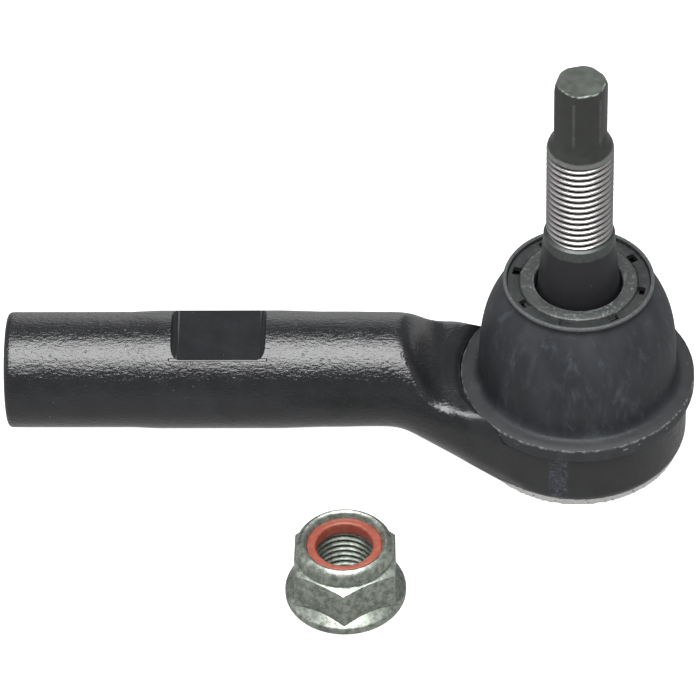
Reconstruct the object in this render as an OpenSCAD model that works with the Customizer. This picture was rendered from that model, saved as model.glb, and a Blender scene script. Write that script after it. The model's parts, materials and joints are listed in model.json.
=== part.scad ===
// Outer tie rod end: a forged rod body with a sealed ball joint, its dust boot and its flange lock nut.
// Origin: centre of the socket's flat underside, on the stud's axis. +Z runs up the stud.
// The threaded shank points along -X.

/* [Shank] */
// Outer diameter of the round shank
shank_d = 24.8; // [24:0.1:26]
// Distance from the stud's axis to the open end of the shank
shank_reach = 122; // [105:1:140]
// Height of the shank's axis above the socket's underside
shank_z = 19; // [18:0.1:20]
// Tapping diameter of the female thread in the shank
tap_d = 14.376; // [12.376:0.001:14.376]
// Depth of the tapped hole
tap_depth = 70; // [50:1:75]
// Width across the two wrench flats
flats_w = 20; // [20:0.1:23]
// Length of each wrench flat along the shank
flats_l = 20.2; // [16:0.1:24]
// Distance from the stud's axis to the middle of the flats
flats_x = 76.4; // [70:0.1:84]

/* [Socket] */
// Outer diameter of the round socket
socket_d = 47; // [46.6:0.1:48]
// Height of the shoulder that the boot stands on
shoulder_z = 15.4; // [15:0.1:15.6]
// Height of the flat on top of the neck
neck_top_z = 20.7; // [20:0.1:22]

/* [Ball stud] */
// Diameter of the ball
ball_d = 25; // [24:0.1:25]
// Height of the ball's centre
ball_z = 20; // [19.8:0.1:20]
// Diameter of the threaded part, over the thread
stud_d = 14; // [12:0.5:14]
// Length of the threaded part
thread_l = 22.5; // [18:0.5:26]
// Small-end diameter of the taper
taper_d = 15.2; // [15:0.1:15.4]
// Length of the taper
taper_l = 15.8; // [15:0.1:18]
// Width across the flats of the hexagon at the tip
tip_af = 10; // [8:0.5:10]
// Length of the hexagon
tip_l = 14.3; // [10:0.1:16]

/* [Dust boot] */
// Outer diameter of the boot's base flange
flange_d = 50; // [49.6:0.1:51]
// Height of the boot's rim
boot_top = 45.4; // [45:0.1:45.6]
// Thickness of the rubber wall
boot_wall = 1.5; // [1.2:0.1:1.8]

/* [Lock nut] */
// Width across the nut's flats
nut_af = 21; // [21:0.5:22]
// Diameter of the nut's flange
nut_flange_d = 25.4; // [24.5:0.1:28]
// Height of the nut
nut_h = 15.3; // [15.3:0.1:16]
// Tapping diameter of the nut's thread
nut_tap_d = 12.376; // [10.376:0.001:12.376]
// Where the loose nut lies, along the shank from the stud's axis
nut_x = -49; // [-90:1:-35]
// Where the loose nut lies, in front of the shank
nut_y = -47.7; // [-70:0.1:-42]

/* [Hidden] */
$fn = 96;
slit = 0.05;            // clearance between pieces that are pressed together
over = 1;               // how far a cutting solid runs past a face

shank_r = shank_d / 2;
socket_r = socket_d / 2;
ball_r = ball_d / 2;

// Neck between the shank and the socket
shank_end_x = -38;      // where the round shank stops
neck_foot_x = -31.8;    // where the slope off the shank meets the neck's flat
seat_gap = 0.7;         // room around the boot's flange

// Socket cavity, from the cover up
cavity_r = 15;
cover_seat_r = 16.5;
rim_hole_r = 14.2;
rim_t = 1;              // thickness of the rim rolled over the cover
cover_top = 2.8;
cone_z = 22.6;           // where the cavity starts to close in over the ball
mouth_z = 26.6;
mouth_r = 13;
ball_play = 0.05;

// Boot groove around the socket's top
groove_r = 19;
groove_top = 18.9;
land_r = 19.2;
land_top = 20.4;
crown_r = 16.2;

// Stud heights and radii
neck_r = 7;
seat_r = 9.62;          // cylinder that turns in the boot's bush
seat_z = [36.8, 40.8];
taper_top = seat_z[1] + taper_l;
relief_top = taper_top + 2.6;
thread_top = relief_top + thread_l;
tip_z = thread_top + 3.4;
stud_top = tip_z + tip_l;
tip_corner_r = tip_af / 2 / cos(30);

// Boot
boot_foot = 15.5;
flange_r = flange_d / 2;
flange_top = 18.2;
dome_foot_z = 19;
dome_foot_r = 21.6;
dome_top_r = 15.2;
dome_steps = 24;
rim_r = 16;
shelf_z = 43.4;
throat_z = 40.2;
throat_r = 12.55;
ring_r = [12.6, 15.1];
ring_t = 1.1;
notches = 8;
bush_z = [39, 44.8];
bush_r = [9.7, 12.5];

// Nut
hex_z = [3.6, 10.8];
crown_nut_r = 10.2;
insert_r = [6.4, 7.75];
insert_z = [11.2, 14.7];

function dome_r(z) =
    dome_foot_r - (dome_foot_r - dome_top_r) * pow((z - dome_foot_z) / (boot_top - dome_foot_z), 2.9);
function dome_z(i, top) = dome_foot_z + (top - dome_foot_z) * i / dome_steps;

module along_x() {
    rotate([0, 90, 0]) children();
}

// Side outline of the metal that is taken off above the neck's flat, drawn across and up
module neck_cut() {
    rotate([90, 0, 0])
        linear_extrude(height = 4 * socket_r, center = true)
            polygon([[shank_end_x, shank_z + shank_r + over], [shank_end_x, shank_z + shank_r],
                     [neck_foot_x, neck_top_z], [2 * socket_r, neck_top_z],
                     [2 * socket_r, shank_z + shank_r + over]]);
}

// Metal that is taken off the neck's far upper corner, which slants down towards the socket
module back_slope() {
    translate([-24.1, 12.85, neck_top_z])
        rotate([-43.3, 15.4, 0])
            translate([-40, -40, 0])
                cube([80, 80, 40]);
}

// Forged web that flows from the round shank into the round socket
module neck() {
    difference() {
        hull() {
            translate([shank_end_x, 0, shank_z])
                along_x()
                    cylinder(r = shank_r - 0.05, h = 2, center = true, $fn = 48);
            translate([0, 0, 0.4])
                cylinder(r = socket_r - 0.5, h = shoulder_z - 0.4, $fn = 48);
        }
        neck_cut();
        back_slope();
        translate([0, 0, shoulder_z])
            cylinder(r = flange_r + seat_gap, h = shank_d);
    }
}

// Socket with its boot groove, before the cavity is bored
module socket_blank() {
    rotate_extrude()
        polygon([[0, 0], [socket_r - 1.2, 0], [socket_r - 0.5, 2.4], [socket_r, 3.2],
                 [socket_r, shoulder_z],
                 [groove_r, shoulder_z], [groove_r, groove_top], [land_r, groove_top],
                 [land_r, land_top], [crown_r, mouth_z], [0, mouth_z]]);
}

module socket_cavity() {
    rotate_extrude()
        polygon([[0, -over], [rim_hole_r, -over], [rim_hole_r, rim_t], [cover_seat_r, rim_t],
                 [cover_seat_r, cover_top], [cavity_r, cover_top], [cavity_r, cone_z],
                 [mouth_r, mouth_z], [mouth_r, mouth_z + over], [0, mouth_z + over]]);
}

module shank_blank() {
    translate([-shank_reach, 0, shank_z])
        rotate([0, 90, 0])
            rotate_extrude()
                polygon([[0, 0], [shank_r - 0.8, 0], [shank_r, 0.8],
                         [shank_r, shank_reach + shank_end_x], [0, shank_reach + shank_end_x]]);
}

module tapped_hole() {
    translate([-shank_reach, 0, shank_z])
        along_x() {
            translate([0, 0, -over])
                cylinder(d = tap_d, h = tap_depth + over);
            translate([0, 0, -slit])
                cylinder(d1 = tap_d + 2, d2 = tap_d - 0.2, h = 1.1);
        }
}

module wrench_flats() {
    for (side = [-1, 1])
        translate([-flats_x, 0, shank_z + side * (flats_w / 2 + shank_r / 2)])
            cube([flats_l, shank_d, shank_r], center = true);
}

// Rod body: threaded shank, neck and socket forged in one piece
module housing() {
    color("dimgray")
        difference() {
            union() {
                shank_blank();
                neck();
                socket_blank();
            }
            socket_cavity();
            tapped_hole();
            wrench_flats();
        }
}

// Bearing shell over the ball; its cone carries the pull-out load
module upper_bearing() {
    color("darkkhaki")
        difference() {
            rotate_extrude()
                polygon([[8, ball_z + 0.2], [cavity_r - slit, ball_z + 0.2], [cavity_r - slit, cone_z],
                         [mouth_r - slit, mouth_z], [8, mouth_z]]);
            translate([0, 0, ball_z])
                sphere(r = ball_r + ball_play);
        }
}

// Cup under the ball, pushed up by the spring
module lower_bearing() {
    color("khaki")
        difference() {
            translate([0, 0, 4.4])
                cylinder(r = cavity_r - slit, h = ball_z - 0.2 - 4.4);
            translate([0, 0, ball_z])
                sphere(r = ball_r + ball_play);
            translate([0, 0, 4.4 - over])
                cylinder(r = 4, h = 3);
        }
}

// Coned disc spring between the cover and the cup
module preload_spring() {
    color("silver")
        rotate_extrude()
            polygon([[5, 3.4], [13.5, cover_top], [13.5, cover_top + 1], [5, 4.4]]);
}

// Steel plug rolled into the socket's underside
module end_cover() {
    color("gray")
        rotate_extrude()
            polygon([[0, 0], [rim_hole_r - 0.2, 0], [rim_hole_r - 0.2, rim_t],
                     [cover_seat_r - slit, rim_t], [cover_seat_r - slit, cover_top], [0, cover_top]]);
}

// Ball, neck, taper, thread and drive hexagon, forged in one piece
module ball_stud() {
    color("slategray")
        union() {
            difference() {
                translate([0, 0, ball_z])
                    sphere(r = ball_r);
                translate([0, 0, ball_z - ball_r - over])
                    cylinder(r = ball_r, h = over + 0.8);
            }
            rotate_extrude()
                polygon([[0, ball_z], [neck_r, ball_z], [neck_r, seat_z[0] - 2.6], [seat_r, seat_z[0]],
                         [seat_r, seat_z[1]], [taper_d / 2 + taper_l / 12, seat_z[1]],
                         [taper_d / 2, taper_top], [7.5, taper_top + 0.3], [7.5, relief_top - 0.4],
                         [stud_d / 2, relief_top], [stud_d / 2, thread_top],
                         [stud_d / 2 - 0.4, tip_z - 1.6], [tip_corner_r + 0.1, tip_z], [0, tip_z]]);
            drive_tip();
        }
}

module drive_tip() {
    intersection() {
        translate([0, 0, tip_z - 1])
            rotate([0, 0, 14])
                cylinder(r = tip_corner_r, h = tip_l + 1, $fn = 6);
        rotate_extrude()
            polygon([[0, tip_z - 2], [tip_corner_r + 1, tip_z - 2], [tip_corner_r + 1, stud_top - 3],
                     [tip_af / 2 - 0.4, stud_top], [0, stud_top]]);
    }
}

// Rubber bell between the socket and the stud
module dust_boot() {
    lip_r = groove_r + 0.1;
    inner_top = throat_z - 0.6;
    outline = concat(
        [[lip_r, boot_foot], [21, boot_foot], [21, boot_foot + 1.9], [23, boot_foot + 1.9],
         [23, boot_foot], [flange_r - 0.4, boot_foot], [flange_r, boot_foot + 0.4],
         [flange_r, flange_top]],
        [for (i = [0 : dome_steps]) [dome_r(dome_z(i, shelf_z)), dome_z(i, shelf_z)]],
        [[rim_r - 0.6, boot_top - 1.5], [rim_r, boot_top - 1], [rim_r, boot_top - 0.3],
         [rim_r - 0.3, boot_top], [ring_r[1] + slit, boot_top], [ring_r[1] + slit, shelf_z],
         [throat_r, shelf_z], [throat_r, throat_z]],
        [for (i = [dome_steps : -1 : 0]) [dome_r(dome_z(i, inner_top)) - boot_wall, dome_z(i, inner_top)]],
        [[lip_r, dome_foot_z - 0.2]]);
    color("darkslategray")
        rotate_extrude()
            polygon(outline);
}

// Steel ring moulded into the underside of the boot's flange
module boot_base_ring() {
    color("gray")
        rotate_extrude()
            polygon([[21 + slit, boot_foot], [23 - slit, boot_foot], [23 - slit, boot_foot + 1.8],
                     [21 + slit, boot_foot + 1.8]]);
}

// Notched stiffening ring in the boot's mouth
module boot_collar_ring() {
    color("dimgray")
        difference() {
            translate([0, 0, shelf_z])
                cylinder(r = ring_r[1], h = ring_t);
            translate([0, 0, shelf_z - over])
                cylinder(r = ring_r[0], h = ring_t + 2 * over);
            for (i = [0 : notches - 1])
                rotate([0, 0, -13.5 - i * 360 / notches])
                    translate([ring_r[0] - 0.5, -1, shelf_z + 0.3])
                        cube([1.9, 2, ring_t]);
        }
}

// Bush that seals against the stud's seat
module boot_collar_bush() {
    color("darkgray")
        rotate_extrude()
            polygon([[bush_r[0], bush_z[0]], [bush_r[1], bush_z[0]], [bush_r[1], bush_z[1] - 0.3],
                     [bush_r[1] - 0.3, bush_z[1]], [bush_r[0] + 0.5, bush_z[1]],
                     [bush_r[0], bush_z[1] - 0.5]]);
}

module at_nut() {
    translate([nut_x, nut_y, 0]) children();
}

module nut_hexagon() {
    corner_r = nut_af / 2 / cos(30);
    intersection() {
        rotate([0, 0, 30])
            cylinder(r = corner_r, h = hex_z[1], $fn = 6);
        rotate_extrude()
            polygon([[0, 0], [corner_r, 0], [corner_r, hex_z[1] - 1], [nut_af / 2 - 0.2, hex_z[1]],
                     [0, hex_z[1]]]);
    }
}

// Hexagon nut with its flange and its crimped crown
module nut_body() {
    color("darkseagreen")
        at_nut()
            difference() {
                union() {
                    rotate_extrude()
                        polygon([[0, 0], [nut_flange_d / 2 - 0.4, 0], [nut_flange_d / 2, 0.4],
                                 [nut_flange_d / 2, 1.6], [nut_af / 2, hex_z[0]], [0, hex_z[0]]]);
                    nut_hexagon();
                    rotate_extrude()
                        polygon([[0, 0], [crown_nut_r, 0], [crown_nut_r, nut_h - 1.6],
                                 [crown_nut_r - 1.4, nut_h], [0, nut_h]]);
                }
                translate([0, 0, -over])
                    cylinder(d = nut_tap_d, h = nut_h);
                translate([0, 0, -slit])
                    cylinder(d1 = nut_tap_d + 2.2, d2 = nut_tap_d - 0.1, h = 1.15);
                translate([0, 0, insert_z[0]])
                    cylinder(r = insert_r[1] + slit, h = nut_h);
            }
}

// Nylon ring that grips the thread
module nut_insert() {
    color("tomato")
        at_nut()
            translate([0, 0, insert_z[0]])
                difference() {
                    cylinder(r = insert_r[1], h = insert_z[1] - insert_z[0]);
                    translate([0, 0, -over])
                        cylinder(r = insert_r[0], h = nut_h);
                }
}

housing();
upper_bearing();
lower_bearing();
preload_spring();
end_cover();
ball_stud();
dust_boot();
boot_base_ring();
boot_collar_ring();
boot_collar_bush();
nut_body();
nut_insert();
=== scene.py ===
"""Outer tie rod end: its forged rod body, ball stud, dust boot and flange lock nut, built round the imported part.

Run as a script. Lengths in the property groups are in metres; the makers work in millimetres and scale at the end.
"""

import json
import math

import bpy
from bpy.props import FloatProperty, FloatVectorProperty, IntProperty, PointerProperty
from mathutils import Matrix, Vector

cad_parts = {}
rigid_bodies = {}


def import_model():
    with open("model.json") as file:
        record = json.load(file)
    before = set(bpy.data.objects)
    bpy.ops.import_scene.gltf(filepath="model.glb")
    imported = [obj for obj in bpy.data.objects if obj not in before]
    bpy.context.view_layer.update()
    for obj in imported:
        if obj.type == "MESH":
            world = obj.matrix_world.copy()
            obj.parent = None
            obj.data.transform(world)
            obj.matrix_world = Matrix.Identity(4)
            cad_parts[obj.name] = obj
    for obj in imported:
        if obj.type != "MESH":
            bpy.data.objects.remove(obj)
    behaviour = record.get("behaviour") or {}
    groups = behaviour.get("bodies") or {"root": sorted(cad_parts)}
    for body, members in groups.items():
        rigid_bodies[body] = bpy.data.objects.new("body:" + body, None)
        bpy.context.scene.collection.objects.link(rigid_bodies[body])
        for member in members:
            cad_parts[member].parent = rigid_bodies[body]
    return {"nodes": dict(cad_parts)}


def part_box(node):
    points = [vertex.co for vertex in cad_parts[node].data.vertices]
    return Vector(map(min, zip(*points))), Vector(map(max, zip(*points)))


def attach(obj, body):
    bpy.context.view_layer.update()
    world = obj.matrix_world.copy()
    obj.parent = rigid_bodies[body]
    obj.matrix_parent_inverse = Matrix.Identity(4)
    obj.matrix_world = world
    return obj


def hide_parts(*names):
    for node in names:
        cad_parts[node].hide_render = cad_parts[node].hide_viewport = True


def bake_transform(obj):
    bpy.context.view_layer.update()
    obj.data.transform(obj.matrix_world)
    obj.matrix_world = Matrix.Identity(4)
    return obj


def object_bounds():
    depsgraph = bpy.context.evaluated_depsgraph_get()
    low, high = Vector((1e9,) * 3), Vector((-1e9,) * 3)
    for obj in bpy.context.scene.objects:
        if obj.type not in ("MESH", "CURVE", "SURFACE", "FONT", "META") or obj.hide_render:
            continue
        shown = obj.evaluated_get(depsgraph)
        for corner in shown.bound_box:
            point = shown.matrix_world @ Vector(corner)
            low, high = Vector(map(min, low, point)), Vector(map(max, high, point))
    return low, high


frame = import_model()

bl_info = {
    "name": "Tie rod end maker",
    "version": (1, 0, 0),
    "blender": (4, 5, 0),
    "location": "3D View > Sidebar > Tie rod end",
    "description": "Makes a forged tie rod end, its ball stud, dust boot and lock nut round the packed part",
    "category": "Object",
}

CAD_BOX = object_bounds()
HOUSING_BOX, STUD_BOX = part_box("housing"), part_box("ball_stud")
NUT_BOX, BOOT_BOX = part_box("nut_body"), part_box("dust_boot")
MM = 0.001
X, Y, Z = Vector((1, 0, 0)), Vector((0, 1, 0)), Vector((0, 0, 1))
SHANK_Z = 19.0  # millimetres: height of the shank's axis
WELD = 1e-4  # millimetres
SLIVER = 1e-3  # millimetres: edges shorter than this are closed up on a finished piece


def mm(metres):
    return metres / MM


# ---------------------------------------------------------------- shaping


def drop_selection():
    if bpy.context.object and bpy.context.object.mode != "OBJECT":
        bpy.ops.object.mode_set(mode="OBJECT")
    bpy.ops.object.select_all(action="DESELECT")


def take(*pieces):
    """Selects only these pieces; the first is the active one."""
    drop_selection()
    for piece in pieces:
        piece.select_set(True)
    bpy.context.view_layer.objects.active = pieces[0]
    return pieces[0]


def settled(piece):
    """Puts the object's place, turn and scale into its mesh."""
    take(piece)
    bpy.ops.object.transform_apply(location=True, rotation=True, scale=True)
    return piece


def newly_added(name):
    piece = bpy.context.object
    piece.name = piece.data.name = name
    return settled(piece)


def drawn(name, points, closed=False):
    """A line of edges through the points: one vertex, extruded from point to point. Leaves it open in edit mode."""
    drop_selection()
    bpy.ops.mesh.primitive_plane_add(size=1, location=points[0])
    piece = newly_added(name)
    bpy.ops.object.mode_set(mode="EDIT")
    bpy.ops.mesh.select_all(action="SELECT")
    bpy.ops.mesh.merge(type="CENTER")
    for here, there in zip(points, points[1:]):
        bpy.ops.mesh.extrude_vertices_move(TRANSFORM_OT_translate={"value": there - here})
    bpy.ops.mesh.select_all(action="SELECT")
    if closed:
        bpy.ops.mesh.edge_face_add()
    return piece


def tidy_mesh():
    """In edit mode: welds doubles and turns every face outwards."""
    bpy.ops.mesh.select_all(action="SELECT")
    bpy.ops.mesh.remove_doubles(threshold=WELD)
    bpy.ops.mesh.normals_make_consistent(inside=False)
    bpy.ops.object.mode_set(mode="OBJECT")


def turned(name, outline, centre=Vector(), axis=Z, steps=96):
    """A solid turned about an axis from (radius, height) points."""
    out = X if axis == Z else Z
    points = [centre + out * r + axis * h for r, h in outline]
    if outline[0][0] > 0:
        points.append(points[0])
    piece = drawn(name, points)
    bpy.ops.mesh.spin(steps=steps, angle=2 * math.pi, center=centre, axis=axis, use_auto_merge=True)
    tidy_mesh()
    return piece


def slab(name, outline, depth):
    """A flat closed outline extruded along depth."""
    piece = drawn(name, outline, closed=True)
    bpy.ops.mesh.extrude_region_move(TRANSFORM_OT_translate={"value": depth})
    tidy_mesh()
    return piece


def joined(first, *others):
    take(first, *others)
    bpy.ops.object.join()
    return first


def modified(piece, kind, **settings):
    take(piece)
    modifier = piece.modifiers.new(kind.lower(), kind)
    for key, value in settings.items():
        setattr(modifier, key, value)
    bpy.ops.object.modifier_apply(modifier=modifier.name)
    return piece


def combined(piece, tool, how):
    modified(piece, "BOOLEAN", operation=how, solver="EXACT", object=tool)
    bpy.data.objects.remove(tool)
    return piece


def threaded_bar(name, root_r, crest_r, pitch, low, high, steps=72):
    """A closed bar with a real helical thread, along +Z from low to high."""
    depth = crest_r - root_r
    tooth = [(0, 0.0), (0, 0.2), (0.72, 0.42), (0.95, 0.5), (1, 0.57), (1, 0.65), (0.95, 0.72), (0.72, 0.8)]
    turns = math.ceil((high - low) / pitch) + 2
    points = [
        X * (root_r + depth * rise) + Z * (low + pitch * (turn - 1 + along))
        for turn in range(turns)
        for rise, along in tooth
    ]
    bar = drawn(name, points)
    bpy.ops.object.mode_set(mode="OBJECT")
    modified(
        bar, "SCREW", angle=2 * math.pi, screw_offset=pitch, steps=steps, render_steps=steps,
        use_merge_vertices=True, merge_threshold=WELD,
    )
    bpy.ops.object.mode_set(mode="EDIT")
    bpy.ops.mesh.select_all(action="SELECT")
    bpy.ops.mesh.remove_doubles(threshold=WELD)
    for height, outward in ((low, -Z), (high, Z)):
        bpy.ops.mesh.select_all(action="SELECT")
        bpy.ops.mesh.bisect(plane_co=Z * height, plane_no=outward, use_fill=True, clear_outer=True)
    tidy_mesh()
    return bar


def smoothed_where(piece, weight, rounds):
    """Relaxes the mesh by the weight at each place."""
    group = piece.vertex_groups.new(name="relax")
    for vertex in piece.data.vertices:
        share = weight(vertex.co)
        if share > 0:
            group.add([vertex.index], share, "REPLACE")
    modified(piece, "SMOOTH", factor=0.5, iterations=rounds, vertex_group=group.name)
    piece.vertex_groups.clear()
    return piece


def drop_crumbs(piece):
    """In edit mode: keeps only the shell that reaches furthest along X."""
    bpy.ops.mesh.select_all(action="DESELECT")
    bpy.ops.object.mode_set(mode="OBJECT")
    outermost = max(piece.data.vertices, key=lambda vertex: vertex.co.x)
    outermost.select = True
    bpy.ops.object.mode_set(mode="EDIT")
    bpy.ops.mesh.select_mode(type="VERT")
    bpy.ops.mesh.select_linked()
    bpy.ops.mesh.select_all(action="INVERT")
    bpy.ops.mesh.delete(type="VERT")


def finished(piece, material, body, slot, *stands_for, angle=32, rides=True):
    """Clears slivers, scales a piece to metres, gives it its finish and hangs it on its body."""
    take(piece)
    bpy.ops.object.mode_set(mode="EDIT")
    bpy.ops.mesh.select_all(action="SELECT")
    bpy.ops.mesh.remove_doubles(threshold=SLIVER)
    bpy.ops.mesh.dissolve_degenerate(threshold=SLIVER)
    drop_crumbs(piece)
    bpy.ops.object.mode_set(mode="OBJECT")
    piece.scale = (MM, MM, MM)
    settled(piece)
    bpy.ops.object.shade_smooth_by_angle(angle=math.radians(angle))
    piece.data.materials.clear()
    piece.data.materials.append(material)
    if rides:
        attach(piece, body)
    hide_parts(*stands_for)
    return piece


def step_between(value, low, high):
    t = min(max((value - low) / (high - low), 0), 1)
    return t * t * (3 - 2 * t)


# ---------------------------------------------------------------- finishes


class Wire:
    """A shader socket that can be used in sums."""

    def __init__(self, finish, socket):
        self.finish, self.socket = finish, socket

    def maths(self, operation, *terms):
        return self.finish.add("ShaderNodeMath", {"operation": operation}, dict(enumerate(terms)))

    def __add__(self, other):
        return self.maths("ADD", self, other)

    def __sub__(self, other):
        return self.maths("SUBTRACT", self, other)

    def __rsub__(self, other):
        return self.maths("SUBTRACT", other, self)

    def __mul__(self, other):
        return self.maths("MULTIPLY", self, other)

    def __truediv__(self, other):
        return self.maths("DIVIDE", self, other)

    def __gt__(self, other):
        return self.maths("GREATER_THAN", self, other)

    __radd__, __rmul__ = __add__, __mul__


def hypotenuse(across, up):
    squares = across * across + up * up
    return squares.maths("SQRT", squares)


class Finish:
    """A material under construction. Its patterns are laid on object coordinates, in millimetres."""

    def __init__(self, name):
        self.material = bpy.data.materials.new(name)
        self.material.use_nodes = True
        self.tree = self.material.node_tree
        self.shader = self.tree.nodes["Principled BSDF"]
        metres = self.add("ShaderNodeTexCoord", {}, {}, "Object")
        self.place = self.add("ShaderNodeMapping", {}, {"Vector": metres, "Scale": (1 / MM, 1 / MM, 1 / MM)})
        self.x, self.y, self.z = (self.add("ShaderNodeSeparateXYZ", {}, {0: self.place}, i) for i in range(3))

    def add(self, kind, settings, sockets, out=0):
        node = self.tree.nodes.new(kind)
        for key, value in settings.items():
            setattr(node, key, value)
        for key, value in sockets.items():
            if isinstance(value, Wire):
                self.tree.links.new(value.socket, node.inputs[key])
            else:
                node.inputs[key].default_value = value
        return Wire(self, node.outputs[out])

    def stretched(self, stretch):
        return self.add("ShaderNodeMapping", {}, {"Vector": self.place, "Scale": stretch})

    def noise(self, size, detail=3.0, rough=0.5, stretch=None, lumpy=0.0):
        """Noise whose features are about size millimetres across."""
        where = self.stretched(stretch) if stretch else self.place
        return self.add(
            "ShaderNodeTexNoise", {},
            {"Vector": where, "Scale": 1 / size, "Detail": detail, "Roughness": rough, "Distortion": lumpy},
        )

    def cells(self, size):
        """Distance to the nearest of many scattered points, size millimetres apart."""
        return self.add("ShaderNodeTexVoronoi", {}, {"Vector": self.place, "Scale": 1 / size})

    def between(self, value, low, high, bottom=0.0, top=1.0):
        """Smooth step of a value from bottom to top."""
        return self.add(
            "ShaderNodeMapRange", {"interpolation_type": "SMOOTHSTEP"},
            {"Value": value, "From Min": low, "From Max": high, "To Min": bottom, "To Max": top},
        )

    def band(self, value, low, high, edge):
        return self.between(value, low - edge, low + edge) * self.between(value, high - edge, high + edge, 1.0, 0.0)

    def radius(self, centre=(0.0, 0.0)):
        return hypotenuse(self.x - centre[0], self.y - centre[1])

    def radius_about_shank(self):
        return hypotenuse(self.y, self.z - SHANK_Z)

    def specks(self, size, reach, share):
        """A mask of scattered small dots: reach is their size in cells, share how many cells hold one."""
        dots = self.between(self.cells(size), reach, reach * 0.5)
        return dots * (self.noise(size * 3, 1.0) > 1 - share)

    def mix(self, mask, first, second):
        """Colour first where the mask is 0, second where it is 1."""
        return self.add("ShaderNodeMix", {"data_type": "RGBA"}, {0: mask, 6: first, 7: second}, 2)

    def mix_value(self, mask, first, second):
        """Number first where the mask is 0, second where it is 1."""
        return self.add("ShaderNodeMix", {"data_type": "FLOAT"}, {0: mask, 2: first, 3: second})

    def bump(self, height, depth):
        """A normal from a height of 0 to 1, depth millimetres deep."""
        return self.add("ShaderNodeBump", {}, {"Height": height, "Distance": depth * MM, "Strength": 1.0})

    def done(self, **sockets):
        for key, value in sockets.items():
            target = self.shader.inputs[key.replace("_", " ")]
            if isinstance(value, Wire):
                self.tree.links.new(value.socket, target)
            else:
                target.default_value = value
        return self.material


def rgb(*colour):
    return (*colour, 1.0)


def black_paint_finish(finishes):
    """Gloss black dip paint on a rough forging, bare and bright at the socket's turned foot."""
    f = Finish("black_paint")
    lumps = f.noise(2.6, 3.0, 0.55)
    grain = f.noise(0.55, 3.0, 0.6, stretch=(0.5, 1, 1))
    waves = f.noise(9.0, 1.0)
    pits = f.specks(1.5, 0.22, 0.42)
    from_axis = f.radius()
    turned_wall = f.between(from_axis, 23.7, 24.1, 0.12, 1.0)
    rod, open_end = settings().rod, mm(HOUSING_BOX[0].x)
    middle, half = -mm(rod.flat_middle), mm(rod.flat_length) / 2 + 0.3
    flat_z = SHANK_Z + mm(rod.flat_height)
    milled = f.band(f.x, middle - half, middle + half, 0.2) * f.band(f.z, flat_z - 0.15, flat_z + 0.2, 0.04)
    at_pocket = f.between(from_axis, 27.5, 29.0, 1.0, 0.0)
    height = (waves * 0.8 + lumps * 0.8 + grain * 1.1 - pits * 0.4) * turned_wall
    height = height * (1 - milled * 0.75) * (1 - at_pocket * 0.6)
    edge = f.noise(1.6, 3.0, 0.65) * 1.3 + f.noise(9.0, 1.0) * 1.0
    bare = f.between(f.z + edge, 3.35, 3.65, 1.0, 0.0) * f.between(from_axis, 23.45, 23.75, 1.0, 0.0)
    hole = f.between(f.x, open_end + 0.8, open_end + 0.4) * f.between(f.radius_about_shank(), 8.3, 8.5, 1.0, 0.0)
    dust = f.specks(1.7, 0.09, 0.4)
    film = f.mix(f.noise(5.0, 3.0), finishes.paint_colour, rgb(0.018, 0.0185, 0.02))
    film = f.mix(dust * 0.3, film, rgb(0.25, 0.25, 0.26))
    # A bluish speckled stripe down the socket's front wall: a painted reflection.
    painted_reflection_stripe = f.band(f.x + f.noise(0.9, 3.0) * 1.2, -5.6, -1.8, 0.5)
    painted_reflection_stripe = painted_reflection_stripe * f.between(f.y, -20.0, -22.0) * f.band(f.z, 3.0, 15.0, 0.5)
    film = f.mix(painted_reflection_stripe * f.between(f.noise(0.7, 3.0, 0.7), 0.42, 0.7), film, rgb(0.05, 0.06, 0.08))
    steel = f.mix(f.noise(0.8, 4.0, 0.7), rgb(0.24, 0.24, 0.235), rgb(0.6, 0.6, 0.58))
    steel = f.mix(f.specks(1.3, 0.3, 0.5), steel, rgb(0.06, 0.06, 0.055))
    bright = bare.maths("MAXIMUM", bare, hole)
    rough = f.between(f.noise(1.4, 2.0), 0.35, 0.7, 0.1, 0.2) + dust * 0.2 + f.between(f.x, -25.5, -22.5) * 0.2
    return f.done(
        Base_Color=f.mix(bright, film, steel),
        Metallic=bright * 0.35,
        Roughness=f.mix_value(bright, rough, f.noise(0.7) * 0.2 + 0.36),
        Normal=f.bump(height, 0.13),
        Specular_IOR_Level=0.5,
    )


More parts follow.
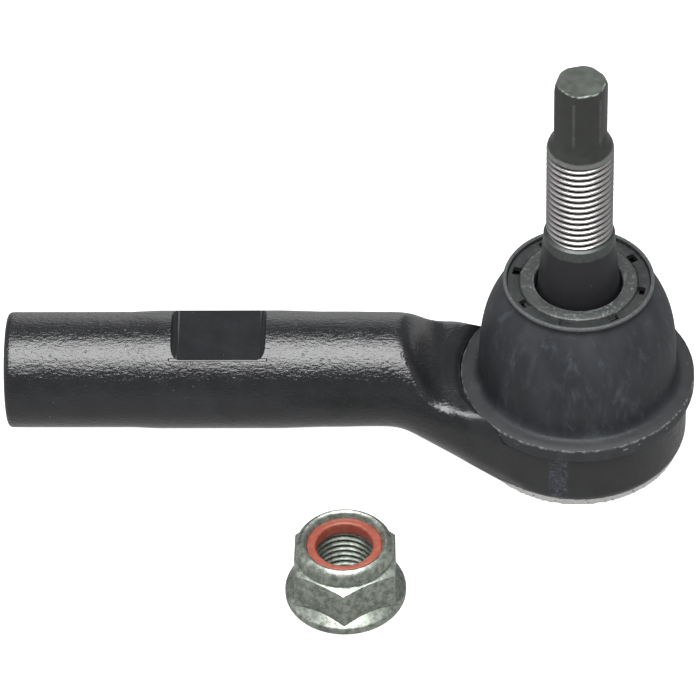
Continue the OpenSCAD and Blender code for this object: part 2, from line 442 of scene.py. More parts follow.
def phosphated_steel_finish(finishes):
    """Dark phosphate on the stud, with a bright rolled thread, satin lands and a near-black taper."""
    f = Finish("phosphated_steel")
    from_axis = f.radius()
    wobble = f.noise(1.6, 3.0, 0.6) * 1.1 + f.noise(0.4, 2.0) * 0.3
    thread = f.band(f.z, 59.5, 82.4, 0.25)
    crest = f.band(f.z, 59.5, 81.5, 0.2) * f.between(from_axis, 6.35, 6.7)
    groove = thread * f.between(from_axis, 6.35, 6.7, 1.0, 0.0)
    collar = f.band(f.z + wobble, 57.2, 59.9, 0.15)
    shoulder = f.band(f.z + wobble * 0.5, 81.6, 82.9, 0.3)
    taper = f.between(f.z + wobble, 57.0, 57.3, 1.0, 0.0)
    top = mm(STUD_BOX[1].z)
    tip_top = f.between(f.z, top - 0.3, top - 0.05)
    # Lighter ring round the tip's top edge: a painted highlight.
    tip_rim_highlight = f.band(f.z, top - 0.28, top - 0.03, 0.025) * f.between(from_axis, 4.2, 4.3)
    # Lighter vertical corners of the hexagon: wear on the edges, with a painted highlight along them.
    corners = f.band(f.z, 86.5, 98.4, 0.6) * f.between(from_axis, 5.57, 5.63)
    patches = f.noise(2.4, 3.0, 0.6)
    colour = f.mix(patches, finishes.phosphate_colour, rgb(0.03, 0.032, 0.029))
    colour = f.mix(taper, colour, rgb(0.014, 0.014, 0.016))
    colour = f.mix(collar, colour, f.mix(f.noise(0.7, 3.0), rgb(0.035, 0.04, 0.038), rgb(0.085, 0.093, 0.088)))
    colour = f.mix(shoulder, colour, f.mix(f.noise(0.8, 3.0), rgb(0.12, 0.13, 0.12), rgb(0.22, 0.235, 0.22)))
    colour = f.mix(groove, colour, rgb(0.014, 0.012, 0.012))
    colour = f.mix(crest, colour, f.mix(f.noise(0.9, 3.0), rgb(0.46, 0.44, 0.435), rgb(0.66, 0.63, 0.62)))
    colour = f.mix(tip_top, colour, f.mix(f.noise(2.0, 3.0), rgb(0.02, 0.023, 0.019), rgb(0.095, 0.105, 0.094)))
    colour = f.mix(tip_rim_highlight * f.between(f.noise(1.2), 0.4, 0.65), colour, rgb(0.22, 0.24, 0.22))
    colour = f.mix(corners * f.between(f.noise(1.5), 0.3, 0.6, 0.3, 0.8), colour, rgb(0.06, 0.065, 0.06))
    colour = f.mix(f.specks(1.7, 0.09, 0.4) * 0.3, colour, rgb(0.3, 0.3, 0.28))
    metal = f.between(crest + collar * 0.45 + shoulder * 0.5, 0.0, 1.0, 0.25, 1.0)
    return f.done(
        Base_Color=colour,
        Metallic=metal,
        Roughness=f.mix_value(crest, f.noise(1.0) * 0.16 + 0.36, f.noise(0.5) * 0.16 + 0.24),
        Normal=f.bump(f.noise(0.35, 3.0, 0.6) + f.noise(1.6, 2.0) * 0.6, 0.012),
    )


def boot_rubber_finish(finishes):
    """Matt rubber with a moulded grain, dust and a rubbed flange, with painted highlights on the flange's outer top
    corner and on the rim's top.
    """
    f = Finish("boot_rubber")
    from_axis = f.radius()
    bloom = f.between(f.noise(7.0, 3.0, 0.6, stretch=(1, 1, 0.5)), 0.35, 0.72)
    grain = f.noise(0.5, 3.0, 0.65)
    ledge = f.band(f.z, 18.4, 19.1, 0.12) * f.between(from_axis, 22.1, 22.5)
    # Light line round the flange's outer top corner: a painted highlight.
    corner = f.band(f.z, 18.2, 18.75, 0.1) * f.between(from_axis, 24.6, 24.85)
    wall = f.band(f.z, 15.3, 18.3, 0.1) * f.between(from_axis, 24.6, 24.9)
    # Lighter ring along the rim's top: a painted highlight.
    rim = f.between(f.z, 44.5, 45.0) * f.between(from_axis, 15.05, 15.25)
    scuffs = wall * f.band(f.z, 17.1, 17.5, 0.1) * f.between(f.noise(1.3, 2.0, stretch=(1, 1, 0.15)), 0.63, 0.68)
    dust = f.specks(2.2, 0.08, 0.42) + f.specks(4.0, 0.05, 0.4)
    colour = f.mix(bloom, finishes.rubber_colour, rgb(0.025, 0.0268, 0.0302))
    streaks = f.between(f.noise(3.0, 4.0, 0.7, stretch=(1, 1, 0.35), lumpy=0.8), 0.5, 0.75)
    colour = f.mix(streaks * 0.8, colour, rgb(0.043, 0.048, 0.054))
    rubbed = (wall * 0.5 + ledge * f.between(grain, 0.3, 0.7, 0.4, 0.9)) * 0.9
    colour = f.mix(rubbed, colour, rgb(0.027, 0.0285, 0.028))
    # Painted highlights on the flange's corner and the rim's top.
    colour = f.mix(corner * f.between(f.noise(0.9, 2.0), 0.4, 0.65), colour, rgb(0.11, 0.113, 0.11))
    colour = f.mix(rim * f.between(grain, 0.3, 0.7, 0.35, 0.9), colour, rgb(0.085, 0.09, 0.088))
    colour = f.mix(scuffs * 0.8, colour, rgb(0.16, 0.17, 0.165))
    colour = f.mix(dust * 0.4, colour, rgb(0.2, 0.21, 0.21))
    return f.done(
        Base_Color=colour,
        Roughness=bloom * 0.14 + 0.5,
        Normal=f.bump(grain * 0.6 + f.noise(2.2, 2.0) * 0.5, 0.03),
        Specular_IOR_Level=0.26,
    )


def collar_plastic_finish(finishes):
    """Moulded black plastic with faint rub marks, and painted shade low in the notches."""
    f = Finish("collar_plastic")
    marks = f.between(f.noise(1.2, 3.0, 0.7), 0.5, 0.75)
    # Near-black and fully rough below the ring's top face: painted shade in the notches.
    shaded_notch_floor = f.between(f.z, 44.3, 44.42, 1.0, 0.0)
    surface = f.mix(marks, finishes.collar_colour, rgb(0.035, 0.038, 0.037))
    return f.done(
        Base_Color=f.mix(shaded_notch_floor, surface, rgb(0.003, 0.003, 0.003)),
        Roughness=f.mix_value(shaded_notch_floor, marks * 0.15 + 0.42, 0.95),
        Normal=f.bump(f.noise(0.4, 3.0), 0.015),
    )


def bush_plastic_finish(finishes):
    """Grey plastic, scraped bright by the stud that was pushed through it."""
    f = Finish("bush_plastic")
    from_axis = f.radius()
    scraped = f.between(f.noise(0.8, 4.0, 0.7, lumpy=0.6), 0.5, 0.72) * f.between(f.noise(4.0, 1.0), 0.35, 0.6)
    lip = f.band(from_axis, 9.35, 9.8, 0.12) * f.between(f.z, 44.1, 44.4)
    colour = f.mix(scraped, finishes.bush_colour, rgb(0.16, 0.168, 0.165))
    colour = f.mix(lip * f.between(f.noise(1.1), 0.35, 0.65, 0.1, 0.8), colour, rgb(0.14, 0.148, 0.148))
    return f.done(
        Base_Color=colour,
        Roughness=scraped * 0.2 + 0.4,
        Normal=f.bump(f.noise(0.5, 3.0) + scraped * 0.5, 0.02),
    )


def zinc_plate_finish(finishes):
    """Grey-green zinc with a satin grain and pin-holes, and painted shade inside the tapped hole."""
    f = Finish("zinc_plate")
    patches = f.noise(1.4, 4.0, 0.7)
    colour = f.mix(f.between(patches, 0.3, 0.7), finishes.zinc_colour, rgb(0.37, 0.4, 0.35))
    colour = f.mix(f.specks(0.8, 0.25, 0.46), colour, rgb(0.10, 0.105, 0.09))
    colour = f.mix(f.specks(0.7, 0.16, 0.42), colour, rgb(0.6, 0.63, 0.57))
    # Darker inside the tapped hole: painted shade in the bore.
    centre = (NUT_BOX[0] + NUT_BOX[1]) / 2
    tapped = f.between(f.radius((mm(centre.x), mm(centre.y))), 7.1, 7.4, 1.0, 0.0)
    colour = f.mix(tapped * 0.6, colour, rgb(0.06, 0.066, 0.055))
    return f.done(
        Base_Color=colour,
        Metallic=0.85,
        Roughness=f.between(f.noise(0.6, 3.0), 0.3, 0.7, 0.34, 0.5),
        Normal=f.bump(f.noise(0.3, 3.0, 0.6) + patches, 0.012),
    )


def red_nylon_finish(finishes):
    """Red nylon, a little worn at its edges."""
    f = Finish("red_nylon")
    worn = f.between(f.noise(0.9, 3.0), 0.45, 0.75)
    return f.done(
        Base_Color=f.mix(worn, finishes.nylon_colour, rgb(0.25, 0.075, 0.05)),
        Roughness=worn * 0.12 + 0.4,
        Normal=f.bump(f.noise(0.6, 2.0), 0.015),
    )


def bearing_plastic_finish():
    """Cream moulded plastic with faint flow marks."""
    f = Finish("bearing_plastic")
    flow = f.noise(3.0, 2.0, 0.5, stretch=(1, 1, 0.3))
    return f.done(
        Base_Color=f.mix(flow, rgb(0.7, 0.66, 0.56), rgb(0.78, 0.75, 0.66)),
        Roughness=flow * 0.2 + 0.35,
        Normal=f.bump(f.noise(0.5, 2.0), 0.01),
    )


def plain_steel_finish(name, dark, light, ring):
    """Plain steel with tool rings about the stud's axis and small stains."""
    f = Finish(name)
    rings = f.add(
        "ShaderNodeTexNoise", {"noise_dimensions": "1D"}, {"W": f.radius() / ring, "Scale": 1.0, "Detail": 2.0},
    )
    stains = f.between(f.noise(2.5, 4.0, 0.65), 0.55, 0.75)
    return f.done(
        Base_Color=f.mix(stains * 0.7, f.mix(rings, light, dark), rgb(0.12, 0.1, 0.08)),
        Metallic=1.0,
        Roughness=stains * 0.2 + 0.34,
        Normal=f.bump(rings * 0.6 + f.noise(0.5, 2.0) * 0.4, 0.01),
    )


# ---------------------------------------------------------------- settings


def length_setting(name, description, default):
    return FloatProperty(
        name=name, description=description, default=default, min=0.0, unit="LENGTH", precision=5,
    )


def amount_setting(name, description, default, **more):
    return FloatProperty(name=name, description=description, default=default, **more)


def colour_setting(name, description, default):
    return FloatVectorProperty(
        name=name, description=description, default=default, size=4, min=0, max=1, subtype="COLOR",
    )


class RodBodySizes(bpy.types.PropertyGroup):
    shank_radius: length_setting("Shank radius", "Radius of the round shank", 0.0124)
    shank_swell: length_setting("Swell", "How far the shank stands out round its wrench flats", 0.00025)
    shank_end: length_setting("Shank end", "Rounding of the shank's open end", 0.001)
    flat_height: length_setting("Flat height", "Height of a wrench flat above the shank's axis", 0.01)
    flat_middle: length_setting("Flat middle", "From the stud's axis to the middle of the wrench flats", 0.0764)
    flat_length: length_setting("Flat length", "Length of a wrench flat", 0.0202)
    neck_top: length_setting("Neck top", "Height of the flat on top of the neck", 0.0207)
    skin: length_setting("Skin", "Mesh size of the forging's skin", 0.00055)


class BallStudSizes(bpy.types.PropertyGroup):
    pitch: length_setting("Pitch", "Pitch of the stud's thread", 0.0015)
    crest_radius: length_setting("Crest radius", "Radius over the stud's thread", 0.007)
    root_radius: length_setting("Root radius", "Radius at the bottom of the stud's thread", 0.0061)
    tip_across: length_setting("Tip across flats", "Width across the flats of the hexagon at the tip", 0.01)
    tip_turn: amount_setting("Tip turn", "Turn of the hexagon about the stud", math.radians(-16), subtype="ANGLE")


class DustBootSizes(bpy.types.PropertyGroup):
    flange_radius: length_setting("Flange radius", "Radius of the boot's base flange", BOOT_BOX[1].x)
    rim_radius: length_setting("Rim radius", "Radius of the boot's rim", 0.016)
    wall: length_setting("Wall", "Thickness of the rubber", 0.0015)
    notches: IntProperty(name="Notches", description="Notches in the collar ring", default=8, min=0)


class LockNutSizes(bpy.types.PropertyGroup):
    across: length_setting("Across flats", "Width across the nut's flats", 0.021)
    flange_radius: length_setting("Flange radius", "Radius of the nut's flange", (NUT_BOX[1].x - NUT_BOX[0].x) / 2)
    pitch: length_setting("Pitch", "Pitch of the nut's thread", 0.0015)
    grip_radius: length_setting("Grip radius", "Inner radius of the nylon ring", 0.00592)


class FinishColours(bpy.types.PropertyGroup):
    paint_colour: colour_setting("Paint", "Black dip paint", rgb(0.0075, 0.0075, 0.0082))
    phosphate_colour: colour_setting("Phosphate", "Dark phosphate on the stud", rgb(0.018, 0.019, 0.0175))
    rubber_colour: colour_setting("Rubber", "Boot rubber", rgb(0.0165, 0.0177, 0.0202))
    collar_colour: colour_setting("Collar", "Notched ring in the boot's mouth", rgb(0.018, 0.0195, 0.0195))
    bush_colour: colour_setting("Bush", "Bush round the stud", rgb(0.034, 0.037, 0.036))
    zinc_colour: colour_setting("Zinc", "Zinc plate on the nut", rgb(0.15, 0.168, 0.146))
    nylon_colour: colour_setting("Nylon", "Nylon ring in the nut", rgb(0.205, 0.046, 0.028))


class StageSettings(bpy.types.PropertyGroup):
    turn: amount_setting("Turn", "Camera's turn about the object", math.radians(-1.81), subtype="ANGLE")
    tilt: amount_setting("Tilt", "Camera's height above the horizon", math.radians(43.31), subtype="ANGLE")
    roll: amount_setting("Roll", "Camera's roll", math.radians(-1.345), subtype="ANGLE")
    distance: length_setting("Distance", "Camera's distance from the middle of the object", 1.0453)
    lens: amount_setting("Lens", "Focal length", 252.0, subtype="DISTANCE_CAMERA")
    shift_across: amount_setting("Shift across", "Sideways lens shift", -0.0549)
    shift_up: amount_setting("Shift up", "Upward lens shift", -0.0025)
    softbox_power: amount_setting("Softbox power", "Power of the overhead softbox", 28.0, unit="POWER")
    panel_power: amount_setting("Side power", "Power of the left side panel", 1.6, unit="POWER")
    table_glow: amount_setting("Table glow", "How strongly the lit table shines", 1.0)
    underlay_glow: amount_setting("Underlay glow", "How bright the table looks in reflections", 0.4)
    room_glow: amount_setting("Room", "Brightness of the room round the table", 0.2)


def settings():
    return bpy.context.scene.tie_rod_end


# ---------------------------------------------------------------- pieces


class TIEROD_OT_rod_body(bpy.types.Operator):
    """Forged rod body: tapped shank, wrench flats, neck and socket"""

    bl_idname = "tierod.rod_body"
    bl_label = "Rod body"

    def execute(self, context):
        s = settings().rod
        low, high = HOUSING_BOX
        open_x, r = mm(low.x), mm(s.shank_radius)
        middle, half = -mm(s.flat_middle), mm(s.flat_length) / 2
        swell, corner = mm(s.shank_swell), mm(s.shank_end)
        centre = Z * SHANK_Z
        inner_end = -36.5  # the shank ends inside the neck

        shank = turned("shank", [
            (0, open_x), (r - corner, open_x), (r - corner * 0.45, open_x + corner * 0.15),
            (r - corner * 0.13, open_x + corner * 0.5), (r, open_x + corner),
            (r, middle - half - 9), (r + swell * 0.5, middle - half - 6), (r + swell, middle - half - 3),
            (r + swell, middle + half + 3), (r + swell * 0.5, middle + half + 7), (r, middle + half + 11),
            (r - 0.05, inner_end), (0, inner_end),
        ], centre, X)
        socket = turned("socket", [
            (0, 0), (22.3, 0), (22.95, 2.3), (23.3, 2.9), (23.5, 3.4), (23.5, 28), (0, 28),
        ])
        neck = self.neck(centre, r)
        trimmed = turned("trimmed", [(0, 15.3), (24.6, 15.3), (24.6, 40), (0, 40)])
        combined(socket, trimmed, "DIFFERENCE")
        body = combined(combined(shank, neck, "UNION"), socket, "UNION")
        modified(body, "REMESH", mode="VOXEL", voxel_size=mm(s.skin))
        smoothed_where(body, self.forged, 16)
        smoothed_where(body, self.underside, 120)
        smoothed_where(body, self.saddle, 90)
        smoothed_where(body, self.flare, 40)
        smoothed_where(body, lambda co: 1.0 if -117 < co.x < -24 else 0.0, 3)

        cut = self.socket_cut()
        cut = joined(cut, self.bore(centre, open_x), *self.flats(middle, half, mm(s.flat_height)))
        combined(body, cut, "DIFFERENCE")
        body.name = body.data.name = "rod_body"
        finished(body, black_paint_finish(settings().colours), "housing", "black_paint", "housing", angle=38)
        return {"FINISHED"}

    @staticmethod
    def forged(co):
        """How much the forging's skin is relaxed: fully round the neck, not at the socket's foot or the shank."""
        return step_between(co.x, -50, -42) * (1 - step_between(co.x, -19, -14)) * step_between(co.z, 1.5, 4)

    @staticmethod
    def underside(co):
        """The long sweep under the neck, from the shank down to the socket."""
        along = step_between(co.x, -52, -44) * (1 - step_between(co.x, -28, -20))
        return along * (1 - step_between(co.z, 14, 19)) * step_between(co.z, 2.5, 5)

    @staticmethod
    def saddle(co):
        """The dip from the top of the shank to the neck's flat."""
        return step_between(co.x, -49, -40) * (1 - step_between(co.x, -28, -25)) * step_between(co.z, 17, 20)

    @staticmethod
    def flare(co):
        """Extra relaxing where the neck's front edge widens next to the boot."""
        along = step_between(co.x, -32, -27) * (1 - step_between(co.x, -22, -18))
        return along * step_between(-co.y, 6, 10) * step_between(co.z, 12, 16)

    @staticmethod
    def neck(centre, r):
        """The hull from the shank to the socket, cut by the saddle, the flat on top and the slant at the back."""
        drop_selection()
        bpy.ops.mesh.primitive_circle_add(
            vertices=64, radius=r - 0.05, location=centre + X * -38, rotation=(0, math.pi / 2, 0),
        )
        near = newly_added("neck")
        rings = []
        for radius, height in ((22.2, 0.45), (23.0, 2.6), (23.4, 3.4), (23.4, 13.4), (22.4, 15.3)):
            drop_selection()
            bpy.ops.mesh.primitive_circle_add(vertices=72, radius=radius, location=(0, 0, height))
            rings.append(newly_added("ring"))
        neck = joined(near, *rings)
        bpy.ops.object.mode_set(mode="EDIT")
        bpy.ops.mesh.select_all(action="SELECT")
        bpy.ops.mesh.convex_hull()
        tidy_mesh()
        top = mm(settings().rod.neck_top)
        slope = [
            (-40.0, 33.6), (-38.4, 31.9), (-36.9, 31.0), (-35.6, 29.6), (-34.4, 27.6), (-33.1, 25.2), (-32.0, 23.3),
            (-31.0, 22.0), (-29.8, 21.2), (-28.3, top),
        ]
        far = 40.0  # well past the socket
        outline = [Vector((x, far, z)) for x, z in [*slope, (far, top), (far, 45), (-far, 45)]]
        combined(neck, slab("slope", outline, Y * -2 * far), "DIFFERENCE")
        take(neck)
        bpy.ops.object.mode_set(mode="EDIT")
        bpy.ops.mesh.select_all(action="SELECT")
        bpy.ops.mesh.bisect(
            plane_co=(-24.1, 12.6, top), plane_no=(0.2, 0.686, 0.728), use_fill=True, clear_outer=True,
        )
        tidy_mesh()
        return neck

    @staticmethod
    def socket_cut():
        """The bearing cavity, the groove for the boot and the room above the socket."""
        return turned("cavity", [
            (0, -1), (14.2, -1), (14.2, 1), (16.5, 1), (16.5, 2.8), (15, 2.8), (15, 22.6), (13, 26.6),
            (16.2, 26.6), (19.2, 20.4), (19.2, 18.9), (19, 18.9), (19, 15.4), (25.1, 15.4), (25.15, 18.4),
            (25.3, 19.2), (25.7, 19.9), (26.3, 20.4), (27.2, 20.7), (28.2, 20.85), (28.2, 41), (0, 41),
        ])

    @staticmethod
    def bore(centre, open_x):
        """A threaded tool as deep as the tapped hole, with a lead-in cone."""
        depth, tapped = 70.0, 46.0
        tool = threaded_bar("bore", 7.188, 7.95, 1.5, 0.4, tapped, steps=56)
        plain = turned("drill", [
            (0, -1), (8.6, -1), (8.2, 0.05), (7.3, 1.0), (7.15, 1.4), (7.15, depth - 2), (0, depth),
        ], steps=56)
        combined(tool, plain, "UNION")
        tool.rotation_euler = (0, math.pi / 2, 0)
        tool.location = centre + X * open_x
        return settled(tool)

    @staticmethod
    def flats(middle, half, height):
        """Milling tools for the two wrench flats, with rounded corners and run-outs."""
        tools = []
        for side in (-1, 1):
            drop_selection()
            bpy.ops.mesh.primitive_cube_add(
                size=1, location=(middle, 0, SHANK_Z + side * (height + 4)), scale=(2 * half, 26, 8),
            )
            tool = newly_added("mill")
            modified(tool, "BEVEL", width=1.8, segments=5, limit_method="ANGLE")
            tools.append(tool)
        return tools


class TIEROD_OT_ball_stud(bpy.types.Operator):
    """Ball stud: ball, neck, seat, taper, rolled thread and drive hexagon"""

    bl_idname = "tierod.ball_stud"
    bl_label = "Ball stud"

    def execute(self, context):
        s = settings().stud
        ball_z, ball_r, neck_r = 20.0, 12.5, 7.2
        flat, top = mm(STUD_BOX[0].z), mm(STUD_BOX[1].z)
        start = math.asin((flat - ball_z) / ball_r)
        stop = math.acos(neck_r / ball_r)
        arc = [
            (ball_r * math.cos(a), ball_z + ball_r * math.sin(a))
            for a in (start + (stop - start) * i / 26 for i in range(27))
        ]
        stud = turned("forged_stud", [
            (0, flat), *arc, (7.0, 30.9), (7.0, 34.2), (9.3, 36.6), (9.62, 37.0), (9.62, 40.6), (9.5, 40.8),
            (8.92, 41.2), (7.6, 56.5), (7.5, 56.8), (7.5, 58.3), (7.36, 58.7), (6.0, 59.5), (6.0, 81.4),
            (6.98, 81.5), (6.93, 81.9), (6.8, 82.5), (6.5, 83.2), (6.15, 83.8), (5.88, 84.3), (5.65, 84.9),
            (5.35, 85.6), (5.0, 86.2), (0, 86.4),
        ], steps=96)
        thread = threaded_bar("thread", mm(s.root_radius), mm(s.crest_radius), mm(s.pitch), 58.9, 81.9)
        lead = turned("lead", [
            (0, 58), (6.2, 58.9), (6.9, 59.6), (7.2, 60), (7.2, 81.8), (6.6, 82.3), (0, 83),
        ], steps=72)
        combined(thread, lead, "INTERSECT")
        combined(stud, thread, "UNION")
        combined(stud, self.hexagon(mm(s.tip_across), s.tip_turn, top), "UNION")
        finished(stud, phosphated_steel_finish(settings().colours), "stud", "phosphated_steel", "ball_stud", angle=40)
        return {"FINISHED"}

    @staticmethod
    def hexagon(across, turn, top):
        """The drive hexagon, with eased corners and a domed end."""
        corner = across / 2 / math.cos(math.radians(30))
        foot = 83  # inside the shoulder
        drop_selection()
        bpy.ops.mesh.primitive_cylinder_add(
            vertices=6, radius=corner, depth=top - foot, location=(0, 0, (top + foot) / 2),
        )
        tip = newly_added("tip")
        tip.rotation_euler = (0, 0, turn)
        settled(tip)
        modified(tip, "BEVEL", width=0.42, segments=4, limit_method="ANGLE", angle_limit=math.radians(40))
        dome = turned("dome", [
            (0, 80), (7, 80), (7, 84), (5.9, 86.5), (5.85, 95.0), (5.75, 96.8), (5.55, 98.0), (5.3, 98.8),
            (5.1, 99.2), (4.95, top), (0, top),
        ], steps=96)
        return combined(tip, dome, "INTERSECT")


class TIEROD_OT_dust_boot(bpy.types.Operator):
    """Rubber dust boot between the socket and the stud"""

    bl_idname = "tierod.dust_boot"
    bl_label = "Dust boot"

    def execute(self, context):
        s = settings().boot
        flange, rim, wall = mm(s.flange_radius), mm(s.rim_radius), mm(s.wall)
        top = mm(BOOT_BOX[1].z)

        def bell(z):
            """Radius of the outside: upright at the foot and drawn in towards the rim."""
            return 21.05 - 6.75 * max((z - 18.8) / 26.2, 0) ** 3.4

        outside = [(bell(z), z) for z in (20.6 + (43.0 - 20.6) * i / 24 for i in range(25))]
        inside = [(bell(z) - wall, z) for z in (39.6 + (20.4 - 39.6) * i / 16 for i in range(17))]
        boot = turned("rubber_boot", [
            # the base flange, with the channel for its ring
            (19.1, 15.5), (20.95, 15.5), (21.0, 17.35), (23.0, 17.35), (23.05, 15.5), (flange - 0.35, 15.5),
            (flange - 0.08, 15.62), (flange, 15.9), (flange, 18.2), (flange - 0.06, 18.42), (flange - 0.25, 18.56),
            (22.9, 18.66), (22.3, 18.7), (21.85, 18.85), (21.5, 19.2), (21.25, 19.8), *outside,
            # the rim, and the mouth with the groove for the collar
            (15.45, 43.5), (15.3, 43.85), (15.42, 44.2), (rim - 0.25, 44.42), (rim - 0.03, 44.7), (rim, 45.0),
            (rim - 0.1, top - 0.12), (rim - 0.35, top), (15.45, top - 0.02), (15.2, top - 0.2), (15.13, 45.0),
            (15.13, 43.38), (14.7, 43.38), (14.6, 41.8), (13.0, 41.8), (12.9, 43.38), (12.55, 43.38), (12.53, 40.2),
            *inside, (19.35, 19.2), (19.08, 18.7),
        ], steps=144)
        rubber = boot_rubber_finish(settings().colours)
        finished(boot, rubber, "boot", "boot_rubber", "dust_boot", angle=50, rides=False)
        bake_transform(boot)
        return {"FINISHED"}


class TIEROD_OT_boot_collar(bpy.types.Operator):
    """Notched ring and bush in the boot's mouth"""

    bl_idname = "tierod.boot_collar"
    bl_label = "Boot collar"

    def execute(self, context):
        ring = turned("collar_ring", [
            (12.56, 43.4), (15.08, 43.4), (15.08, 44.35), (14.95, 44.5), (12.75, 44.5), (12.6, 44.4),
        ], steps=128)
        notch_count, first_turn = settings().boot.notches, math.radians(-13.5)
        cuts = []
        for i in range(notch_count):
            drop_selection()
            bpy.ops.mesh.primitive_cube_add(size=1, location=(13.1, 0, 44.6), scale=(2.3, 2.3, 3.2))
            cut = newly_added("notch")
            modified(cut, "BEVEL", width=0.25, segments=2, limit_method="ANGLE")
            cut.rotation_euler = (0, 0, first_turn - i * math.tau / notch_count)
            cuts.append(settled(cut))
        combined(ring, joined(*cuts), "DIFFERENCE")
        colours = settings().colours
        finished(ring, collar_plastic_finish(colours), "boot_collar", "collar_plastic", "boot_collar_ring", angle=35)
        bush = turned("collar_bush", [
            (9.7, 39.0), (12.5, 39.0), (12.5, 44.45), (12.38, 44.68), (12.1, 44.8), (9.9, 44.8), (9.6, 44.7),
            (9.38, 44.4), (9.3, 43.9), (9.3, 41.5), (9.7, 41.2),
        ], steps=128)
        finished(bush, bush_plastic_finish(colours), "boot_collar", "bush_plastic", "boot_collar_bush", angle=45)
        return {"FINISHED"}


class TIEROD_OT_lock_nut(bpy.types.Operator):
    """Flange lock nut with its nylon ring, lying loose beside the rod"""

    bl_idname = "tierod.lock_nut"
    bl_label = "Lock nut"

    def execute(self, context):
        s = settings().nut
        low, high = NUT_BOX
        centre = Vector((mm(low.x + high.x) / 2, mm(low.y + high.y) / 2, 0))
        top, flange, across = mm(high.z), mm(s.flange_radius), mm(s.across)
        body = turned("flange_nut", [
            (0, 0), (flange - 0.5, 0), (flange - 0.15, 0.12), (flange, 0.4), (flange, 1.35), (flange - 0.1, 1.65),
            (flange - 0.35, 1.85), (10.4, 3.3), (10.0, 3.9), (9.6, 5), (9.6, 10.4), (9.8, 10.9), (10.15, 11.6),
            (10.35, 12.4), (10.38, 12.95), (10.28, 13.6), (10.05, 14.2), (9.7, 14.7), (9.25, top - 0.2), (8.85, top),
            (8.45, top - 0.1), (8.2, top - 0.35), (8.02, top - 0.75), (7.9, top - 1.05), (7.8, top - 1.2),
            (7.8, 11.2), (0, 11.2),
        ], steps=120)
        combined(body, self.hexagon(across), "UNION")
        tap = threaded_bar("tap", 6.188, 6.95, mm(s.pitch), -0.4, 11.0, steps=72)
        lead = turned("lead", [
            (0, -1), (8.1, -1), (7.25, 0), (6.15, 1.1), (6.15, 10.6), (6.6, 11.25), (0, 11.25),
        ], steps=72)
        combined(body, combined(tap, lead, "UNION"), "DIFFERENCE")
        colours = settings().colours
        grip = mm(s.grip_radius)
        ring = turned("nylon_ring", [
            (grip, 11.5), (7.75, 11.22), (7.75, 14.0), (7.6, 14.12), (6.35, 14.15), (6.1, 14.05), (grip, 13.75),
        ], steps=96)
        for piece in (body, ring):
            piece.location = centre
            settled(piece)
        finished(body, zinc_plate_finish(colours), "nut", "zinc_plate", "nut_body", angle=34)
        finished(ring, red_nylon_finish(colours), "nut", "red_nylon", "nut_insert", angle=45)
        return {"FINISHED"}

    @staticmethod
    def hexagon(across):
        """The nut's hexagon, chamfered above and below."""
        corner = across / 2 / math.cos(math.radians(30))
        drop_selection()
        bpy.ops.mesh.primitive_cylinder_add(vertices=6, radius=corner, depth=11.0, location=(0, 0, 6.3))
        block = newly_added("hexagon")
        modified(block, "BEVEL", width=0.22, segments=3, limit_method="ANGLE", angle_limit=math.radians(40))
        cone = turned("cone", [
            (0, 0), (13, 0), (corner + 0.1, 1.2), (corner + 0.1, 10.75), (across / 2 - 0.6, 11.7), (9.0, 11.7),
            (9.0, 11.0), (0, 11.0),
        ], steps=120)
        return combined(block, cone, "INTERSECT")


class TIEROD_OT_inner_parts(bpy.types.Operator):
    """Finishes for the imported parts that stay: bearings, spring, end cover and the boot's base ring"""

    bl_idname = "tierod.inner_parts"
    bl_label = "Inner parts"

    def execute(self, context):
        plastic = bearing_plastic_finish()
        wanted = {
            "upper_bearing": plastic,
            "lower_bearing": plastic,
            "preload_spring": plain_steel_finish("spring_steel", rgb(0.3, 0.3, 0.31), rgb(0.46, 0.46, 0.47), 0.3),
            "end_cover": plain_steel_finish("cover_steel", rgb(0.36, 0.36, 0.35), rgb(0.55, 0.55, 0.53), 0.5),
            "boot_base_ring": plain_steel_finish("ring_steel", rgb(0.3, 0.3, 0.3), rgb(0.45, 0.45, 0.44), 0.4),
        }
        for name, material in wanted.items():
            data = frame["nodes"][name].data
            data.materials.clear()
            data.materials.append(material)
        return {"FINISHED"}


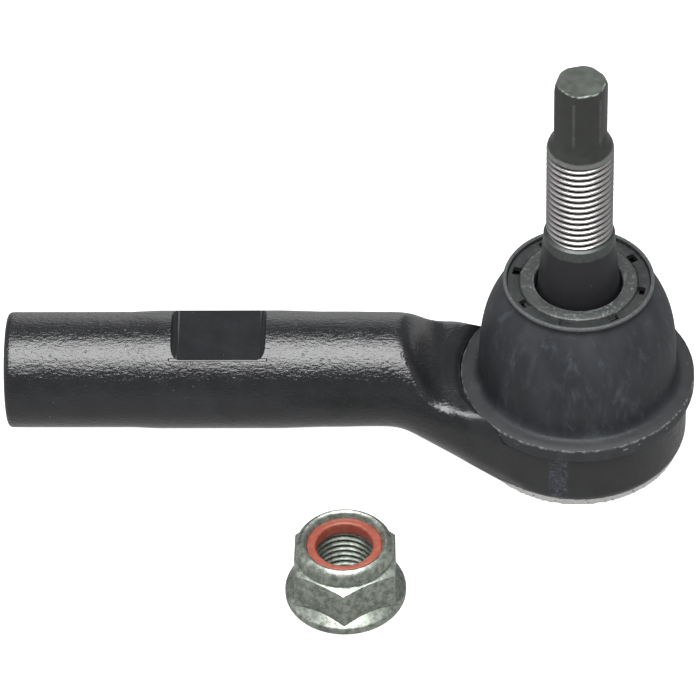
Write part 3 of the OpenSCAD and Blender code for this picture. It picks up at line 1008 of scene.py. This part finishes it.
class TIEROD_OT_stage(bpy.types.Operator):
    """Pale lit table, overhead softbox, side panels and the camera"""

    bl_idname = "tierod.stage"
    bl_label = "Stage"

    def execute(self, context):
        s = settings().stage
        f = Finish("floor_paper")
        paper = f.done(
            Base_Color=f.mix(f.noise(60.0), rgb(0.34, 0.34, 0.34), rgb(0.36, 0.36, 0.36)), Roughness=0.9,
            Emission_Color=rgb(1, 1, 1), Emission_Strength=s.table_glow,
        )
        card = Finish("underlay_card").done(
            Base_Color=rgb(0.1, 0.1, 0.1), Roughness=0.9, Emission_Color=rgb(1, 1, 1),
            Emission_Strength=s.underlay_glow,
        )
        # The floor is what the camera sees, and the underlay is what the gloss of the object sees.
        floor = self.sheet("floor", 6, (0, 0, -0.0002), paper)
        floor.visible_glossy = False
        underlay = self.sheet("underlay", 0.8, (0, 0, -0.0004), card)
        for rays in ("visible_camera", "visible_diffuse", "visible_shadow"):
            setattr(underlay, rays, False)
        backdrop = self.sheet("backdrop", 6, (0, 2.2, 0), paper, rotation=(math.pi / 2, 0, 0))
        backdrop.scale = (0.15, 0.5, 1)

        middle = Vector(((CAD_BOX[0].x + CAD_BOX[1].x) / 2, 0, 0.02))
        before = Vector((0, -0.31, 0))
        self.light("softbox", middle + before + Z, middle + before, (0.85, 0.94), s.softbox_power)
        for name, side, share in (("left_panel", -1, 1.0), ("right_panel", 1, 0.35)):
            place = middle + Vector((side * 0.9, -0.1, 0.35))
            self.light(name, place, middle, (0.7, 0.7), s.panel_power * share)
        world = bpy.context.scene.world or bpy.data.worlds.new("room")
        bpy.context.scene.world = world
        world.use_nodes = True
        world.node_tree.nodes["Background"].inputs["Color"].default_value = (0.9, 0.95, 1.0, 1.0)
        world.node_tree.nodes["Background"].inputs["Strength"].default_value = s.room_glow
        self.camera(s)
        bpy.context.scene.view_settings.view_transform = "Standard"
        return {"FINISHED"}

    @staticmethod
    def sheet(name, size, place, material, rotation=(0, 0, 0)):
        drop_selection()
        bpy.ops.mesh.primitive_plane_add(size=size, location=place, rotation=rotation)
        sheet = bpy.context.object
        sheet.name = name
        sheet.data.materials.append(material)
        return sheet

    @staticmethod
    def light(name, place, target, size, power):
        bpy.ops.object.light_add(type="AREA", location=place)
        lamp = bpy.context.object
        lamp.name = name
        lamp.rotation_euler = (target - place).to_track_quat("-Z", "Y").to_euler()
        lamp.data.shape = "RECTANGLE"
        lamp.data.size, lamp.data.size_y = size
        lamp.data.energy = power

    @staticmethod
    def camera(s):
        target = Vector((-0.04037, 0, 0.0251))
        a, e, r = s.turn, s.tilt, s.roll
        ahead = Vector((math.sin(a) * math.cos(e), math.cos(a) * math.cos(e), -math.sin(e)))
        right = Vector((math.cos(a), -math.sin(a), 0))
        up = right.cross(ahead)
        across = right * math.cos(r) + up * math.sin(r)
        upward = up * math.cos(r) - right * math.sin(r)
        bpy.ops.object.camera_add()
        camera = bpy.context.object
        camera.name = "camera"
        place = target - ahead * s.distance
        camera.matrix_world = Matrix.Translation(place) @ Matrix((across, upward, -ahead)).transposed().to_4x4()
        camera.data.lens = s.lens
        camera.data.sensor_width = 36
        camera.data.shift_x, camera.data.shift_y = s.shift_across, s.shift_up
        camera.data.clip_start, camera.data.clip_end = 0.05, 20
        camera.data.dof.use_dof = False
        bpy.context.scene.camera = camera


OPERATORS = (
    TIEROD_OT_rod_body,
    TIEROD_OT_ball_stud,
    TIEROD_OT_dust_boot,
    TIEROD_OT_boot_collar,
    TIEROD_OT_lock_nut,
    TIEROD_OT_inner_parts,
    TIEROD_OT_stage,
)


class TieRodEnd(bpy.types.PropertyGroup):
    rod: PointerProperty(name="Rod body", description="Sizes of the rod body", type=RodBodySizes)
    stud: PointerProperty(name="Ball stud", description="Sizes of the ball stud", type=BallStudSizes)
    boot: PointerProperty(name="Dust boot", description="Sizes of the dust boot", type=DustBootSizes)
    nut: PointerProperty(name="Lock nut", description="Sizes of the lock nut", type=LockNutSizes)
    colours: PointerProperty(name="Colours", description="Colours of the finishes", type=FinishColours)
    stage: PointerProperty(name="Stage", description="Camera and lights", type=StageSettings)


class TIEROD_PT_panel(bpy.types.Panel):
    """Makers of the tie rod end's pieces"""

    bl_label = "Tie rod end"
    bl_space_type = "VIEW_3D"
    bl_region_type = "UI"
    bl_category = "Tie rod end"

    def draw(self, context):
        for maker in OPERATORS:
            self.layout.operator(maker.bl_idname)
        for group in context.scene.tie_rod_end.bl_rna.properties:
            if group.type == "POINTER" and group.identifier != "rna_type":
                box = self.layout.box()
                box.label(text=group.name)
                held = getattr(context.scene.tie_rod_end, group.identifier)
                for item in held.bl_rna.properties:
                    if item.identifier not in ("rna_type", "name"):
                        box.prop(held, item.identifier)


CLASSES = (
    RodBodySizes, BallStudSizes, DustBootSizes, LockNutSizes, FinishColours, StageSettings, TieRodEnd,
    *OPERATORS, TIEROD_PT_panel,
)


def register():
    for each in CLASSES:
        bpy.utils.register_class(each)
    bpy.types.Scene.tie_rod_end = PointerProperty(
        name="Tie rod end", description="Tie rod end settings", type=TieRodEnd,
    )


def unregister():
    del bpy.types.Scene.tie_rod_end
    for each in reversed(CLASSES):
        bpy.utils.unregister_class(each)


def main():
    register()
    bpy.ops.tierod.stage()
    bpy.ops.tierod.rod_body()
    bpy.ops.tierod.ball_stud()
    bpy.ops.tierod.dust_boot()
    bpy.ops.tierod.boot_collar()
    bpy.ops.tierod.lock_nut()
    bpy.ops.tierod.inner_parts()


if __name__ == "__main__":
    main()
